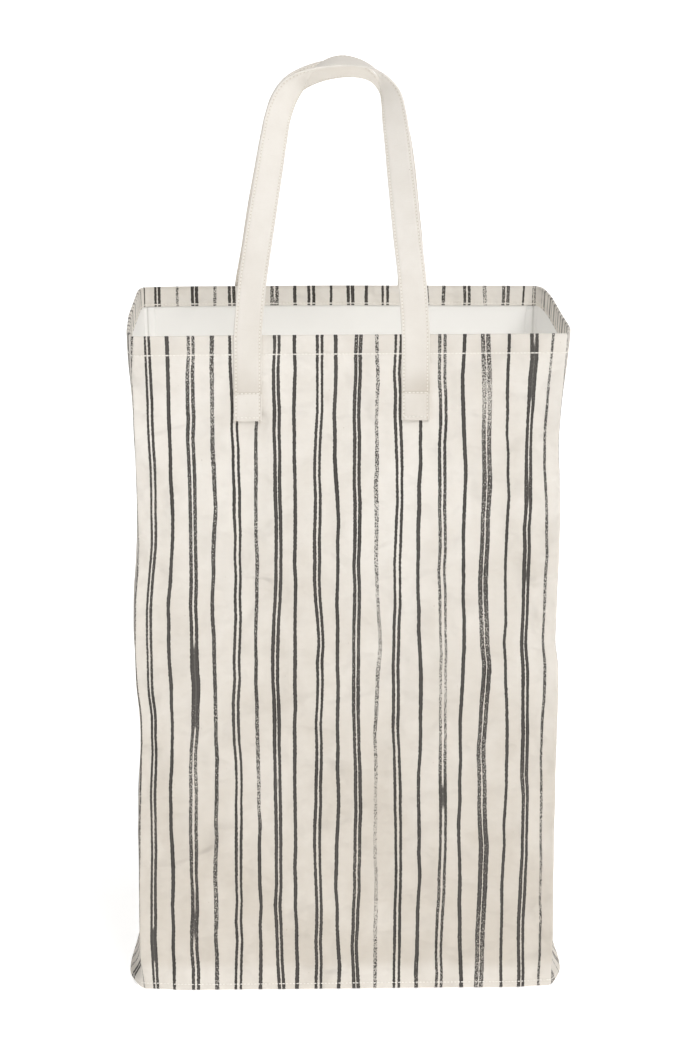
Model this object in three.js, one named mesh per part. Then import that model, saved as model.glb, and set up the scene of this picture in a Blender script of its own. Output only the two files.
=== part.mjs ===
// Rectangular canvas laundry bag: five coated canvas panels with a turned-in hem, and two
// strap handles sewn to the outside of the front and back panels.
// Millimetres, +Z up. The origin is the centre of the base on the floor, and -Y is the front.
import * as THREE from 'three';

// Driving dimensions of the bag
const WIDTH = 380;
const DEPTH = 280;
const HEIGHT = 605;
const SIDE_BOW = 6;          // how far the middle of a side panel stands out past its corners
const GAP = 0.3;             // clearance between pieces that touch

// Cloth and thread
const CANVAS = 1.0;
const COATING = 0.4;
const THREAD_WIDTH = 0.6;
const THREAD_RISE = 0.4;

// Hem, seams and topstitching
const HEM_DEPTH = 19;
const HEM_STITCH_DROP = 17;  // hem stitch below the rim
const BASE_STITCH_RISE = 6;  // base stitch above the floor
const SEAM_ALLOWANCE = 8;

// Straps
const STRAP_WIDTH = 25;
const STRAP_THICK = 2;
const STRAP_LEFT_X = -89;
const STRAP_RIGHT_X = { front: 58, rear: 66 };
const STRAP_SEWN = 75;       // length of strap sewn to the panel, below the rim
const BOX_STITCH = 21;       // side of the stitched square at the strap's end
const BOX_STITCH_RISE = 2.5; // from the strap's end to the square
const PIVOT_OUT = 1.5;       // pivot line outside the strap's middle, and above the rim
const PIVOT_UP = 0.3;
const LEG_INSET = 1.1;       // strap's middle inside the pivot line, in the handle's own frame
const LEG_START = 2.4;       // where the free strap starts above the pivot line

// One side of a handle from the rim to the top, as [share of the leg's offset, share of the rise].
const LEG_SHAPE = [[1, 0], [0.95, 0.18], [0.84, 0.5], [0.76, 0.78], [0.7, 0.86], [0.57, 0.925], [0.3, 0.968]];
// The loop's middle moves sideways from the legs' middle to TOP_X as it rises.
const TOP_X = -3;
const HANDLES = {
  front: { lean: 29, rise: 261, twist: 52 },
  rear: { lean: 31, rise: 253, twist: 12 },
};
const STRAP_STEPS = 48;

// Stack of layers, measured inwards from a panel's outer face or upwards from the floor
const COATING_DEPTH = CANVAS + GAP;
const HEM_DEPTH_IN = COATING_DEPTH + COATING + GAP;
const STITCH_DEPTH_IN = HEM_DEPTH_IN + CANVAS + GAP;
const WALL_LINING_START = HEM_DEPTH_IN;
const STRAP_MIDDLE_OUT = GAP + STRAP_THICK / 2;

const bag = new THREE.Group();

const canvasCloth = { color: 0xe9e3d8, roughness: 0.95, metalness: 0 };
const whiteCoating = { color: 0xf2f1ee, roughness: 0.6, metalness: 0 };
const strapCloth = { color: 0xeee8dd, roughness: 0.95, metalness: 0 };
const sewingThread = { color: 0xf4efe6, roughness: 0.8, metalness: 0 };

function addPiece(parent, name, geometry, finish, position = [0, 0, 0]) {
  const piece = new THREE.Mesh(geometry, new THREE.MeshStandardMaterial(finish));
  piece.name = name;
  piece.position.set(...position);
  parent.add(piece);
  return piece;
}

// A flat layer parallel to the front panel. y is its outer face, thick goes inwards.
function addFlatLayer(parent, name, finish, { halfWidth, outerY, thick, bottom, top }) {
  const layer = new THREE.BoxGeometry(2 * halfWidth, thick, top - bottom);
  return addPiece(parent, name, layer, finish, [0, outerY + thick / 2, (bottom + top) / 2]);
}

// A layer of a side panel: a strip seen from above as a shallow parabola, bowed towards +X.
function addBowedLayer(parent, name, finish, { halfLength, outerX, thick, bottom, top }) {
  const plan = new THREE.Shape();
  plan.moveTo(outerX, -halfLength);
  plan.quadraticCurveTo(outerX + 2 * SIDE_BOW, 0, outerX, halfLength);
  plan.lineTo(outerX - thick, halfLength);
  plan.quadraticCurveTo(outerX - thick + 2 * SIDE_BOW, 0, outerX - thick, -halfLength);
  const layer = new THREE.ExtrudeGeometry(plan, { depth: top - bottom, bevelEnabled: false });
  return addPiece(parent, name, layer, finish, [0, 0, bottom]);
}

// The outline of the base with its two bowed sides, drawn into a Shape or a Path.
function drawBaseOutline(outline, halfWidth, halfDepth) {
  outline.moveTo(-halfWidth, -halfDepth);
  outline.lineTo(halfWidth, -halfDepth);
  outline.quadraticCurveTo(halfWidth + 2 * SIDE_BOW, 0, halfWidth, halfDepth);
  outline.lineTo(-halfWidth, halfDepth);
  outline.quadraticCurveTo(-halfWidth - 2 * SIDE_BOW, 0, -halfWidth, -halfDepth);
  return outline;
}

// Front and back walls. The back is the front turned half way round the vertical axis.
function addFlatWall(side) {
  const wall = new THREE.Group();
  wall.rotation.z = side === 'back' ? Math.PI : 0;
  const face = -DEPTH / 2;
  const lined = WIDTH / 2 - COATING_DEPTH;
  addFlatLayer(wall, `${side}_panel`, canvasCloth, {
    halfWidth: WIDTH / 2, outerY: face, thick: CANVAS, bottom: 0, top: HEIGHT,
  });
  addFlatLayer(wall, `${side}_coating`, whiteCoating, {
    halfWidth: lined, outerY: face + COATING_DEPTH, thick: COATING,
    bottom: WALL_LINING_START, top: HEIGHT - CANVAS,
  });
  const hemInset = HEM_DEPTH_IN + CANVAS + GAP;
  addFlatLayer(wall, `${side}_hem`, canvasCloth, {
    halfWidth: WIDTH / 2 - hemInset, outerY: face + HEM_DEPTH_IN, thick: CANVAS,
    bottom: HEIGHT - HEM_DEPTH, top: HEIGHT,
  });
  const hemStitch = HEIGHT - HEM_STITCH_DROP;
  addFlatLayer(wall, `${side}_hem_stitch`, sewingThread, {
    halfWidth: WIDTH / 2 - hemInset - THREAD_WIDTH, outerY: face + STITCH_DEPTH_IN, thick: THREAD_RISE,
    bottom: hemStitch - THREAD_WIDTH / 2, top: hemStitch + THREAD_WIDTH / 2,
  });
  addFlatLayer(wall, `${side}_base_stitch`, sewingThread, {
    halfWidth: WIDTH / 2 - THREAD_WIDTH, outerY: face - GAP - THREAD_RISE, thick: THREAD_RISE,
    bottom: BASE_STITCH_RISE - THREAD_WIDTH / 2, top: BASE_STITCH_RISE + THREAD_WIDTH / 2,
  });
  bag.add(wall);
}

// Side walls between the front and back walls. The left is the right turned half way round.
function addSideWall(side) {
  const wall = new THREE.Group();
  wall.rotation.z = side === 'left' ? Math.PI : 0;
  const face = WIDTH / 2;
  addBowedLayer(wall, `${side}_side_panel`, canvasCloth, {
    halfLength: DEPTH / 2 - CANVAS - GAP, outerX: face, thick: CANVAS, bottom: 0, top: HEIGHT,
  });
  addBowedLayer(wall, `${side}_side_coating`, whiteCoating, {
    halfLength: DEPTH / 2 - HEM_DEPTH_IN, outerX: face - COATING_DEPTH, thick: COATING,
    bottom: WALL_LINING_START, top: HEIGHT - CANVAS,
  });
  addBowedLayer(wall, `${side}_side_hem`, canvasCloth, {
    halfLength: DEPTH / 2 - HEM_DEPTH_IN, outerX: face - HEM_DEPTH_IN, thick: CANVAS,
    bottom: HEIGHT - HEM_DEPTH, top: HEIGHT,
  });
  const hemStitch = HEIGHT - HEM_STITCH_DROP;
  addBowedLayer(wall, `${side}_side_hem_stitch`, sewingThread, {
    halfLength: DEPTH / 2 - STITCH_DEPTH_IN - CANVAS, outerX: face - STITCH_DEPTH_IN, thick: THREAD_RISE,
    bottom: hemStitch - THREAD_WIDTH / 2, top: hemStitch + THREAD_WIDTH / 2,
  });
  addBowedLayer(wall, `${side}_side_base_stitch`, sewingThread, {
    halfLength: DEPTH / 2 - THREAD_WIDTH, outerX: face + GAP + THREAD_RISE, thick: THREAD_RISE,
    bottom: BASE_STITCH_RISE - THREAD_WIDTH / 2, top: BASE_STITCH_RISE + THREAD_WIDTH / 2,
  });
  bag.add(wall);
}

// Base panel, its coating, and the folded seam edge that lies round it inside the bag.
function addBase() {
  const panelPlan = drawBaseOutline(new THREE.Shape(), WIDTH / 2 - COATING_DEPTH, DEPTH / 2 - COATING_DEPTH);
  const panel = new THREE.ExtrudeGeometry(panelPlan, { depth: CANVAS, bevelEnabled: false });
  addPiece(bag, 'base_panel', panel, canvasCloth);

  const coating = new THREE.ExtrudeGeometry(panelPlan, { depth: COATING, bevelEnabled: false });
  addPiece(bag, 'base_coating', coating, whiteCoating, [0, 0, COATING_DEPTH]);

  const edge = HEM_DEPTH_IN;
  const seamPlan = drawBaseOutline(new THREE.Shape(), WIDTH / 2 - edge, DEPTH / 2 - edge);
  const inner = edge + SEAM_ALLOWANCE;
  seamPlan.holes.push(drawBaseOutline(new THREE.Path(), WIDTH / 2 - inner, DEPTH / 2 - inner));
  const seam = new THREE.ExtrudeGeometry(seamPlan, { depth: CANVAS, bevelEnabled: false });
  addPiece(bag, 'base_seam_allowance', seam, canvasCloth, [0, 0, HEM_DEPTH_IN]);
}

// The folded edge of one upright corner seam, pressed flat on the front or back coating.
function addCornerSeam(name, xSign, ySign) {
  const bottom = HEM_DEPTH_IN + CANVAS + GAP;
  const top = HEIGHT - HEM_DEPTH - GAP;
  const strip = new THREE.BoxGeometry(SEAM_ALLOWANCE, CANVAS, top - bottom);
  const x = WIDTH / 2 - HEM_DEPTH_IN - SEAM_ALLOWANCE / 2;
  const y = DEPTH / 2 - HEM_DEPTH_IN - CANVAS / 2;
  addPiece(bag, name, strip, canvasCloth, [xSign * x, ySign * y, (bottom + top) / 2]);
}

// The sewn end of a strap on the outside of a panel, with its stitched square.
function addStrapEnd(handle, end, x, ySign) {
  const top = HEIGHT - GAP;
  const bottom = HEIGHT - STRAP_SEWN;
  const y = DEPTH / 2 + STRAP_MIDDLE_OUT;
  const strap = new THREE.BoxGeometry(STRAP_WIDTH, STRAP_THICK, top - bottom);
  addPiece(bag, `${handle}_handle_${end}_end`, strap, strapCloth, [x, ySign * y, (bottom + top) / 2]);

  const half = BOX_STITCH / 2;
  const square = new THREE.Shape();
  square.moveTo(-half, -half);
  square.lineTo(half, -half);
  square.lineTo(half, half);
  square.lineTo(-half, half);
  const inside = half - THREAD_WIDTH;
  const hole = new THREE.Path();
  hole.moveTo(-inside, -inside);
  hole.lineTo(inside, -inside);
  hole.lineTo(inside, inside);
  hole.lineTo(-inside, inside);
  square.holes.push(hole);
  const stitch = new THREE.ExtrudeGeometry(square, { depth: THREAD_RISE, bevelEnabled: false });
  const faceY = y + STRAP_THICK / 2 + GAP + (ySign < 0 ? 0 : THREAD_RISE);
  const piece = addPiece(bag, `${handle}_${end}_box_stitch`, stitch, sewingThread,
    [x, ySign * faceY, bottom + BOX_STITCH_RISE + half]);
  piece.rotation.x = Math.PI / 2;
}

// The free part of a strap as a loop in its own upright plane: x across, z along the rise.
function handlePath(rise, rightX, mirror) {
  const middle = (STRAP_LEFT_X + rightX) / 2;
  const spread = (rightX - STRAP_LEFT_X) / 2;
  const side = (sign) => LEG_SHAPE.map(([offset, height]) => {
    const drift = (TOP_X - middle) * height;
    return new THREE.Vector3(mirror * (middle + drift + sign * spread * offset), 0, rise * height);
  });
  const points = [...side(-mirror), new THREE.Vector3(mirror * TOP_X, 0, rise), ...side(mirror).reverse()];
  return new THREE.CatmullRomCurve3(points, false, 'centripetal');
}

// A flat strap whose vertices are carried along the path. Its face looks outwards on the legs
// and turns upwards by the twist, in degrees, at the top of the loop.
function strapAlong(path, rise, twist) {
  const strap = new THREE.BoxGeometry(STRAP_WIDTH, STRAP_THICK, 1, 1, 1, STRAP_STEPS);
  const corner = strap.attributes.position;
  const inwards = new THREE.Vector3(0, 1, 0);
  for (let i = 0; i < corner.count; i += 1) {
    const along = corner.getZ(i) + 0.5;
    const centre = path.getPointAt(along);
    const tangent = path.getTangentAt(along);
    const outwards = new THREE.Vector3(-tangent.z, 0, tangent.x);
    const turned = THREE.MathUtils.smoothstep(centre.z, 0.45 * rise, rise) * THREE.MathUtils.degToRad(twist);
    const across = outwards.multiplyScalar(Math.cos(turned)).addScaledVector(inwards, Math.sin(turned));
    const faceNormal = new THREE.Vector3().crossVectors(tangent, across);
    centre.addScaledVector(across, corner.getX(i)).addScaledVector(faceNormal, corner.getY(i));
    corner.setXYZ(i, centre.x, centre.y, centre.z);
  }
  strap.computeVertexNormals();
  return strap;
}

// A handle's frame sits on its pivot line at the rim and leans in over the bag.
function addHandle(handle, ySign) {
  const { lean, rise, twist } = HANDLES[handle];
  const halfTurn = new THREE.Group();
  halfTurn.rotation.z = ySign < 0 ? 0 : Math.PI;
  const pivot = new THREE.Group();
  pivot.position.set(0, -(DEPTH / 2 + STRAP_MIDDLE_OUT + PIVOT_OUT), HEIGHT + PIVOT_UP);
  pivot.rotation.x = -THREE.MathUtils.degToRad(lean);
  const path = handlePath(rise, STRAP_RIGHT_X[handle], -ySign);
  addPiece(pivot, `${handle}_handle_strap`, strapAlong(path, rise, twist), strapCloth, [0, LEG_INSET, LEG_START]);
  halfTurn.add(pivot);
  bag.add(halfTurn);
}

for (const side of ['front', 'back']) addFlatWall(side);
for (const side of ['left', 'right']) addSideWall(side);
addBase();
addCornerSeam('front_left_seam_allowance', -1, -1);
addCornerSeam('front_right_seam_allowance', 1, -1);
addCornerSeam('back_left_seam_allowance', -1, 1);
addCornerSeam('back_right_seam_allowance', 1, 1);
for (const [handle, ySign] of [['front', -1], ['rear', 1]]) {
  addStrapEnd(handle, 'left', STRAP_LEFT_X, ySign);
  addStrapEnd(handle, 'right', STRAP_RIGHT_X[handle], ySign);
  addHandle(handle, ySign);
}

export default bag;
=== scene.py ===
import math

import bpy
import numpy as np
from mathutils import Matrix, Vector, noise


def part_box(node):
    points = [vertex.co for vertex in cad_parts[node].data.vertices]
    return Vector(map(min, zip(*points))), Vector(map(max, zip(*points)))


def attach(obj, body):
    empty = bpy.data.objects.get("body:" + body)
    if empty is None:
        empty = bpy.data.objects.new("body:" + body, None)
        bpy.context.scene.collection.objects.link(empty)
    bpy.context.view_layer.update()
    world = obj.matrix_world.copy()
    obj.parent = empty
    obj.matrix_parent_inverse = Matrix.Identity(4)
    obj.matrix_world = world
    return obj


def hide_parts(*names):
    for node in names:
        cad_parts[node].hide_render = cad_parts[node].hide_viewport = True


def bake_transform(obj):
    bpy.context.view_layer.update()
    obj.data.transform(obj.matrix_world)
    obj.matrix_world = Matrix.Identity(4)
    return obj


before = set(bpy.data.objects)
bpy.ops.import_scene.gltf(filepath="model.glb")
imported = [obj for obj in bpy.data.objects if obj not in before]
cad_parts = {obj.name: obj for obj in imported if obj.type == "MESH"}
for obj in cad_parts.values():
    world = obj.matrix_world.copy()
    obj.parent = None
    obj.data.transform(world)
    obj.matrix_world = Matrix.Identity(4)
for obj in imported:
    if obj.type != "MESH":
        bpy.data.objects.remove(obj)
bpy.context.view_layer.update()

# ---- sizes, in metres
MM = 0.001
front_low, front_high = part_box("front_panel")
_, back_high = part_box("back_panel")
HALF_WIDTH = front_high[0]
FRONT_Y = front_low[1]
BACK_Y = back_high[1]
HALF_DEPTH = BACK_Y
RIM = front_high[2]

CANVAS = 1.0 * MM            # cloth thickness
RIM_RADIUS = 1.45 * MM       # roll of the cloth over the rim
COATING_IN = 1.15 * MM       # the coating's hidden face, inside the outer face of the canvas
COATING = 0.4 * MM
HEM_DEPTH = 19 * MM
HEM_STITCH_Z = RIM - 17 * MM
FOOT_RADIUS = 3.0 * MM       # roll of the walls into the base
FOOT_FLANGE = 8.0 * MM       # how far the wall cloth reaches in under the bag
FOOT_STITCH_Z = 6.0 * MM
STITCH_PITCH = 3.2 * MM
STITCH_LENGTH = 2.5 * MM
THREAD_RADIUS = 0.36 * MM
THREAD_SIT = 0.06 * MM        # how far a thread's middle stands off the cloth it is pulled into

STRAP_WIDTH = 25 * MM
STRAP_THICK = 2.1 * MM
STRAP_SEWN = 75 * MM         # length of strap sewn to the wall, below the rim
STRAP_END_LENGTH = 24 * MM   # turned-under end of a strap, sewn down with a square of stitches
STRAP_END_MARGIN = 2.6 * MM   # from the end to its lowest line of stitches
STRAP_EDGE_STITCH = 2.2 * MM
STRAP_GROOVE = 0.45 * MM      # how deep the edge stitches pull in

STRIPE_PITCH = 37.5 * MM     # from one double stripe to the next


# ---- mesh helpers
def put(name, data):
    thing = bpy.data.objects.new(name, data)
    bpy.context.scene.collection.objects.link(thing)
    return thing


def new_object(name, vertices, faces, material, smooth=True):
    mesh = bpy.data.meshes.new(name)
    mesh.from_pydata([tuple(p) for p in np.asarray(vertices, float).reshape(-1, 3)], [], faces)
    mesh.update()
    if smooth:
        mesh.polygons.foreach_set("use_smooth", [True] * len(mesh.polygons))
    mesh.materials.append(material)
    return put(name, mesh)


def signed_volume(vertices, faces):
    v = np.asarray(vertices, float).reshape(-1, 3)
    total = 0.0
    for size in {len(f) for f in faces}:
        group = np.array([f for f in faces if len(f) == size])
        for k in range(1, size - 1):
            a, b, c = v[group[:, 0]], v[group[:, k]], v[group[:, k + 1]]
            total += float(np.einsum("ij,ij->i", a, np.cross(b, c)).sum()) / 6
    return total


def facing_out(vertices, faces):
    if signed_volume(vertices, faces) < 0:
        return [tuple(reversed(f)) for f in faces]
    return faces


def ring_faces(rows, columns, close_rows=False):
    """Four-sided faces between neighbouring closed rings of points."""
    faces = []
    for r in range(rows if close_rows else rows - 1):
        low, high = r * columns, (r + 1) % rows * columns
        for c in range(columns):
            beside = (c + 1) % columns
            faces.append((low + c, low + beside, high + beside, high + c))
    return faces


def tube_faces(rows, columns):
    """Rings of faces, with one face across each end."""
    last = (rows - 1) * columns
    return ring_faces(rows, columns) + [tuple(reversed(range(columns))), tuple(range(last, last + columns))]


def smoothstep(low, high, x):
    t = np.clip((np.asarray(x, float) - low) / (high - low), 0, 1)
    return t * t * (3 - 2 * t)


def bump_at(x, centre, width):
    return np.exp(-(((np.asarray(x, float) - centre) / width) ** 2))


def field(x, y, scale, seed):
    """Smooth seeded noise from -1 to 1 over two coordinates."""
    flat_x, flat_y = np.broadcast_arrays(np.asarray(x, float), np.asarray(y, float))
    values = [noise.noise(Vector((a / scale, b / scale, seed)))
              for a, b in zip(flat_x.ravel(), flat_y.ravel())]
    return np.array(values).reshape(flat_x.shape)


# ---- shape of the bag's wall
# Going round the bag: front panel, right side, back panel, left side. The walls' cloth is
# placed by the distance round from the front left corner and the height above the floor.
FRONT_END = 2 * HALF_WIDTH
RIGHT_END = FRONT_END + 2 * HALF_DEPTH
BACK_END = RIGHT_END + 2 * HALF_WIDTH
ROUND = BACK_END + 2 * HALF_DEPTH
CORNERS = (0.0, FRONT_END, RIGHT_END, BACK_END, ROUND)

# How far the open rim stands out of the rectangle, in mm at distances round: sideways (to the right)
# and backwards. The sides spring outwards right behind the front corners.
RIM_SIDEWAYS = ((0, 0.5), (340, 0), (380, 3), (402, 7), (430, 8), (500, 6.6), (590, 6.3), (640, 3.5),
                (660, 0), (1040, -4), (1060, -6.7), (1200, -8.5), (1295, -5.5), (1320, 0.5))
RIM_BACKWARDS = ((0, 0), (100, 4), (190, 6), (300, 7), (380, 9), (440, 2), (640, 0), (680, 1.5),
                 (850, 6.5), (1000, 4), (1040, 0), (1320, 0))

# Sideways set of the left and right walls, at heights above the floor: (height, outwards), in mm.
LEFT_SET = ((0, -1), (40, 1.3), (100, 0.9), (190, 0.2), (235, -2.6), (262, -2.2), (290, 0.6), (331, 1.4),
            (366, 0.6), (384, -1.2), (420, -3.4), (480, -2.2), (530, -0.8), (572, 0), (605, 0))
RIGHT_SET = ((0, -5), (36, -4), (110, -4.5), (217, -3.9), (285, -2.6), (310, -3.4), (325, -6.4), (350, -5.4),
             (403, -4.1), (448, -3.2), (480, -4.2), (503, -5.6), (538, -4.4), (570, -2.5), (605, -1))
LEFT_FLARE, RIGHT_FLARE = 8.5 * MM, 6.5 * MM     # how far the side walls' foot stands out


def smooth_line(table, places, reach):
    """A line through the table's points, in mm, averaged over a short reach so that it has no corners."""
    at = np.array([p for p, _ in table]) * MM
    values = np.array([v for _, v in table]) * MM
    shifts = np.linspace(-1, 1, 7)
    return sum(np.interp(places + reach * t, at, values) for t in shifts) / len(shifts)


def sharp_plan(u):
    """The rectangle without rounding, at distance u round it."""
    u = np.mod(u, ROUND)
    x = np.interp(u, CORNERS, (-HALF_WIDTH, HALF_WIDTH, HALF_WIDTH, -HALF_WIDTH, -HALF_WIDTH))
    y = np.interp(u, CORNERS, (FRONT_Y, FRONT_Y, BACK_Y, BACK_Y, FRONT_Y))
    return x, y


def corner_reach(u, z):
    """How far the rounding of the nearest corner reaches, in cloth length."""
    near_rim = smoothstep(RIM - 70 * MM, RIM, z)
    at_foot = 1 - smoothstep(2 * MM, 26 * MM, z)
    reach = 2.5 + 4.5 * at_foot
    for corner, opened in ((0.0, 2.5), (FRONT_END, 5.5), (RIGHT_END, 15), (BACK_END, 12), (ROUND, 2.5)):
        reach = reach + bump_at(u, corner, 0.05) * opened * near_rim
    return reach * MM


def side_bow(across, z, foot_bow):
    """Outward stand of a side wall between its corners: a broad bow, and a low flare at the foot on each
    side of the fold down its middle."""
    broad = 4 * across * (1 - across)
    full = 1 - (2 * across - 1) ** 12
    below_rim = 1 - smoothstep(RIM - 110 * MM, RIM, z)
    beside_fold = full * (1 - 0.9 * bump_at(across, 0.5, 0.24))
    return broad * 3.5 * MM * below_rim + beside_fold * foot_bow * bump_at(z, 4.5 * MM, 8.5 * MM)


def plan_point(u, z):
    """Horizontal place of the outer face at distance u round and height z."""
    u = np.mod(u, ROUND)
    reach = corner_reach(u, z)
    steps = np.linspace(-1, 1, 9)
    weights = 1.05 - np.abs(steps)
    weights = weights / weights.sum()
    x = y = 0.0
    for step, weight in zip(steps, weights):
        px, py = sharp_plan(u + reach * step)
        x = x + weight * px
        y = y + weight * py
    open_rim = smoothstep(RIM - 95 * MM, RIM, z)
    left = smoothstep(-HALF_WIDTH + 0.07, -HALF_WIDTH, x)
    right = smoothstep(HALF_WIDTH - 0.07, HALF_WIDTH, x)
    set_reach = 8 * MM
    x = x - left * smooth_line(LEFT_SET, z, set_reach) + right * smooth_line(RIGHT_SET, z, set_reach)
    right_across = np.clip((u - FRONT_END) / (2 * HALF_DEPTH), 0, 1)
    left_across = np.clip((u - BACK_END) / (2 * HALF_DEPTH), 0, 1)
    x = x + side_bow(right_across, z, RIGHT_FLARE) - side_bow(left_across, z, LEFT_FLARE)
    rim_reach = 12 * MM
    x = x + open_rim * smooth_line(RIM_SIDEWAYS, u, rim_reach)
    y = y + smoothstep(RIM - 200 * MM, RIM, z) * smooth_line(RIM_BACKWARDS, u, rim_reach)
    return x, y


def soft_line(distance, width):
    """Cross-section of a pressed crease: 1 on the line, with a small round top."""
    t = distance / width
    return np.exp(-(np.sqrt(t * t + 0.05) - 0.22))


def crease(u, z, start, end, depth, width):
    """An inward crease along a straight line from start to end, places (round, height), in mm."""
    start, end = np.array(start) * MM, np.array(end) * MM
    du, dz = end - start
    length = math.hypot(du, dz)
    along = ((u - start[0]) * du + (z - start[1]) * dz) / length
    off = ((u - start[0]) * dz - (z - start[1]) * du) / length
    fade = smoothstep(-0.3 * length, 0.25 * length, along) * (1 - smoothstep(0.8 * length, 1.2 * length, along))
    return -depth * MM * fade * soft_line(off, width * MM)


# Creases pressed into the cloth where the bag was folded for its packet: (height, depth, seed).
PRESSED = ((46, 0.9, 2.2), (163, 0.5, 6.1), (249, 0.9, 4.4), (302, 1.1, 9.2), (371, 1.3, 1.7), (455, 1.1, 7.7),
           (512, 0.5, 3.9))
# Diagonal creases beside each bottom corner: (offset and height of each end), depth and width, in mm.
CORNER_CREASES = (((6, 12), (34, 30), 1.6, 4.0), ((14, 8), (44, 12), 1.0, 4.5), ((5, 34), (17, 62), 0.9, 4.0))


def dents(u, z):
    """Soft dents and folds of the standing cloth, outwards positive. Nothing at the corners."""
    clear = np.ones_like(u)
    for corner in CORNERS:
        clear = clear * smoothstep(4 * MM, 40 * MM, np.abs(u - corner))
    foot = smoothstep(0, 30 * MM, z)
    rim = 1 - 0.75 * smoothstep(RIM - 60 * MM, RIM, z)
    shape = 2.2 * MM * field(u, z, 0.16, 3.1) + 1.3 * MM * field(u * 0.7, z * 1.3, 0.06, 8.7)
    for height, depth, seed in PRESSED:
        line = height * MM + 7 * MM * field(u, 0.0, 0.12, seed)
        present = smoothstep(-0.25, 0.35, field(u, height * MM, 0.09, seed + 5))
        shape = shape - depth * MM * present * soft_line(z - line, 6 * MM)
    fine = 0.3 * MM * field(u, z, 0.024, 5.5)
    # The foot of each wall kicks out a little, below a shallow hollow.
    kick = 4.0 * MM * (1 - smoothstep(3 * MM, 34 * MM, z)) - 2.2 * MM * bump_at(z, 44 * MM, 15 * MM)
    total = clear * (foot * rim * shape + kick) + foot * rim * fine
    for corner in CORNERS:
        for side in (1, -1):
            for *ends, depth, width in CORNER_CREASES:
                start, end = [(corner / MM + side * offset, height) for offset, height in ends]
                total = total + crease(u, z, start, end, depth, width)
    return total


def stitch_pull(z, inset):
    """Inward pull of the seam threads: both faces of the hem draw together, and so does the foot."""
    lines = bump_at(z, HEM_STITCH_Z, 1.2 * MM) + bump_at(z, FOOT_STITCH_Z, 1.2 * MM)
    return 0.4 * MM * lines * (1 - inset / RIM_RADIUS) * (inset < 3.2 * MM)


def foot_lift(u, z, inset):
    """The bottom edge isn't dead level: it lifts off the floor here and there."""
    wave = 0.45 * MM * (1 + field(u, 0.0, 0.15, 21.0)) + 0.5 * MM * bump_at(u, 0.27, 0.10)
    return wave * (1 - smoothstep(0, 70 * MM, z)) * (1 - smoothstep(1 * MM, FOOT_FLANGE, inset))


def wall_frame(u, z, inset):
    """Places on the wall, inset from its outer face, with the direction round it and the outward one."""
    u, z, inset = np.broadcast_arrays(np.asarray(u, float), np.asarray(z, float), np.asarray(inset, float))
    step = 0.6 * MM
    x0, y0 = plan_point(u - step, z)
    x1, y1 = plan_point(u + step, z)
    x, y = plan_point(u, z)
    length = np.hypot(x1 - x0, y1 - y0)
    tx, ty = (x1 - x0) / length, (y1 - y0) / length
    u = np.mod(u, ROUND)
    out = dents(u, z) - inset - stitch_pull(z, inset)
    place = np.stack([x + ty * out, y - tx * out, z + foot_lift(u, z, inset)], axis=-1)
    level = np.zeros_like(tx)
    return place, np.stack([tx, ty, level], axis=-1), np.stack([ty, -tx, level], axis=-1)


def wall_point(u, z, inset):
    return wall_frame(u, z, inset)[0]


def round_samples():
    """Distances round the bag: close together at the corners, wider apart between them."""
    samples = []
    for start, end in zip(CORNERS[:-1], CORNERS[1:]):
        near = np.array([0, 0.8, 1.6, 2.5, 3.6, 5, 6.7, 8.6, 10.8, 13.2, 16, 19, 22.5]) * MM
        inner = np.linspace(start + 26 * MM, end - 26 * MM, int((end - start - 52 * MM) / (4.0 * MM)))
        samples += [start + near, inner, end - near[:0:-1]]
    return np.concatenate(samples)


U_SAMPLES = round_samples()


# ---- material graphs
class Term:
    """One number in a material graph. Arithmetic on it adds math nodes."""

    def __init__(self, g, socket):
        self.graph, self.socket = g, socket

    def __add__(self, other):
        return self.graph.math("ADD", self, other)

    def __sub__(self, other):
        return self.graph.math("SUBTRACT", self, other)

    def __rsub__(self, other):
        return self.graph.math("SUBTRACT", other, self)

    def __mul__(self, other):
        return self.graph.math("MULTIPLY", self, other)

    def __truediv__(self, other):
        return self.graph.math("DIVIDE", self, other)

    def __abs__(self):
        return self.graph.math("ABSOLUTE", self)

    def floor(self):
        return self.graph.math("FLOOR", self)

    def most(self, other):
        return self.graph.math("MAXIMUM", self, other)


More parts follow.
